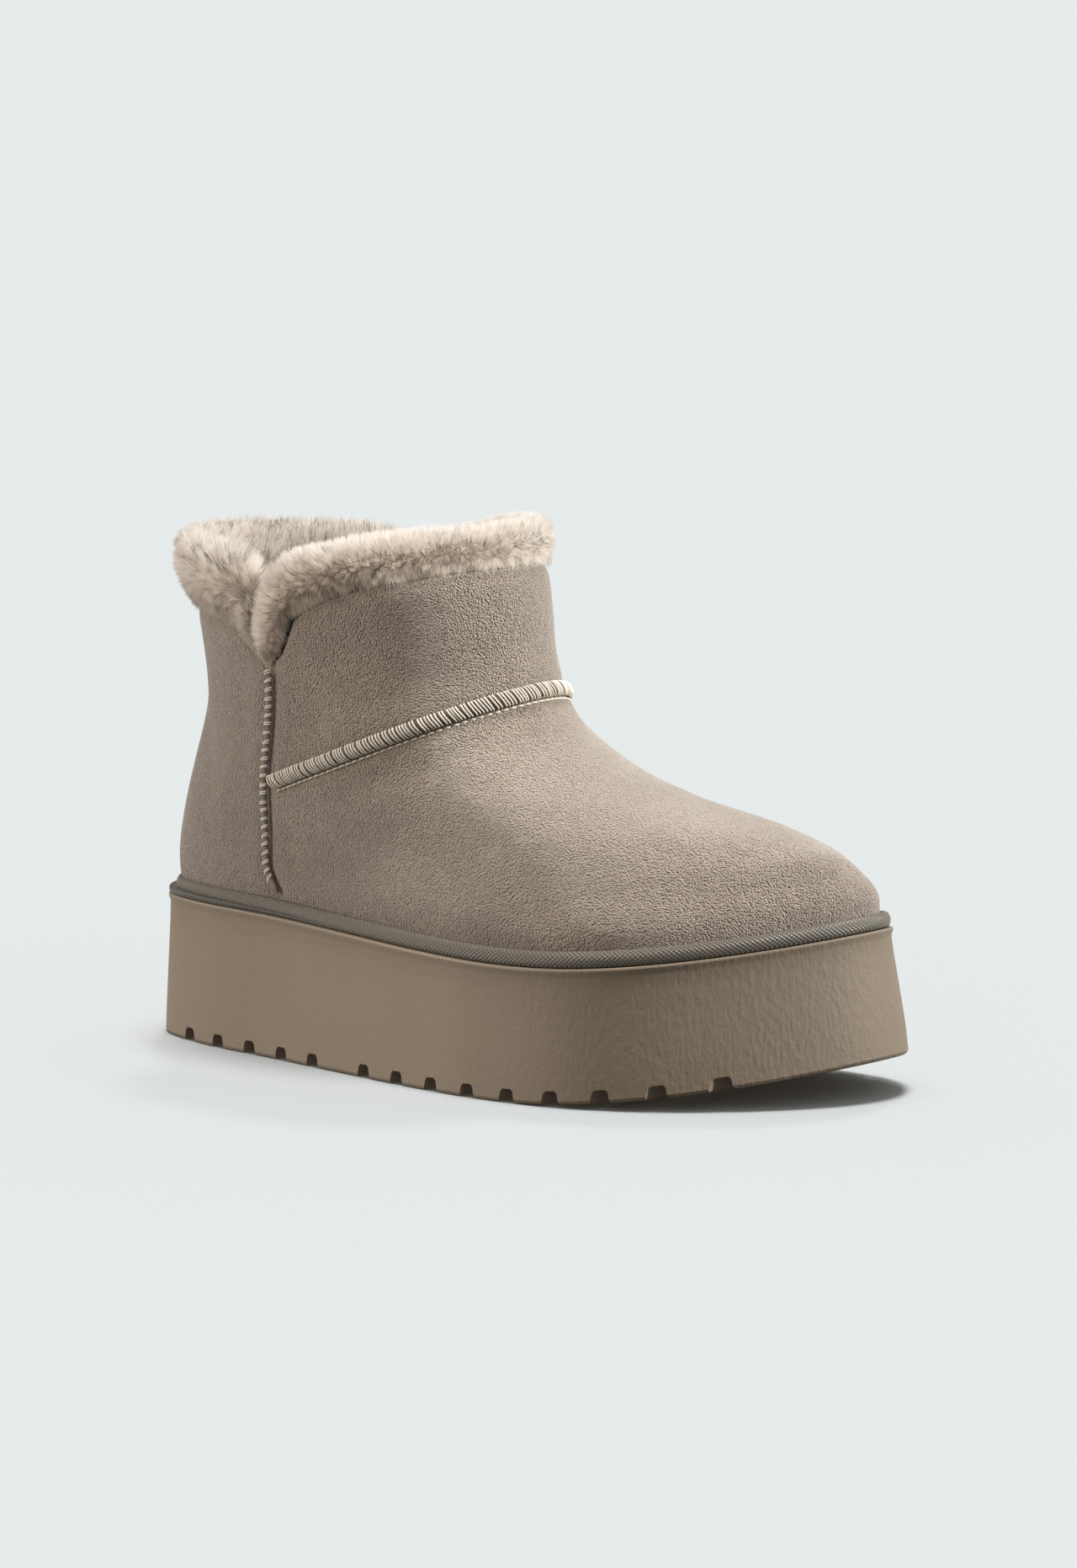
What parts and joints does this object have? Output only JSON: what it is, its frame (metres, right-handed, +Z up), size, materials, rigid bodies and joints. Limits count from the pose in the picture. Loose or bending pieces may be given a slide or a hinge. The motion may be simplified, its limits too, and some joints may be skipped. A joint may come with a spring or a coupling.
{
  "type": "platform ankle boot",
  "caption": "Suede ankle boot with a fur cuff parted in a V at each side, raised seams, a welt and a thick platform sole with straight grooves; right foot.",
  "frame": {"origin": "on the floor, under the middle of the sole's length and width", "axes": "+X to the toe, +Y to the inner side of the foot, +Z up"},
  "size_m": [0.271, 0.1118, 0.1783],
  "materials": {
    "sole": "matt foam with a fine leather-like grain",
    "welt": "fine diamond check",
    "suede": "napped suede",
    "fleece": "short fleece",
    "fur": "dense fur",
    "thread": "overlocked thread"
  },
  "bodies": {
    "root": {"platform_sole": "sole", "welt": "welt", "upper": "suede", "insole": "fleece", "fur_cuff": "fur", "instep_seam": "thread", "side_seam_outer": "thread", "side_seam_inner": "thread"}
  },
  "joints": []
}
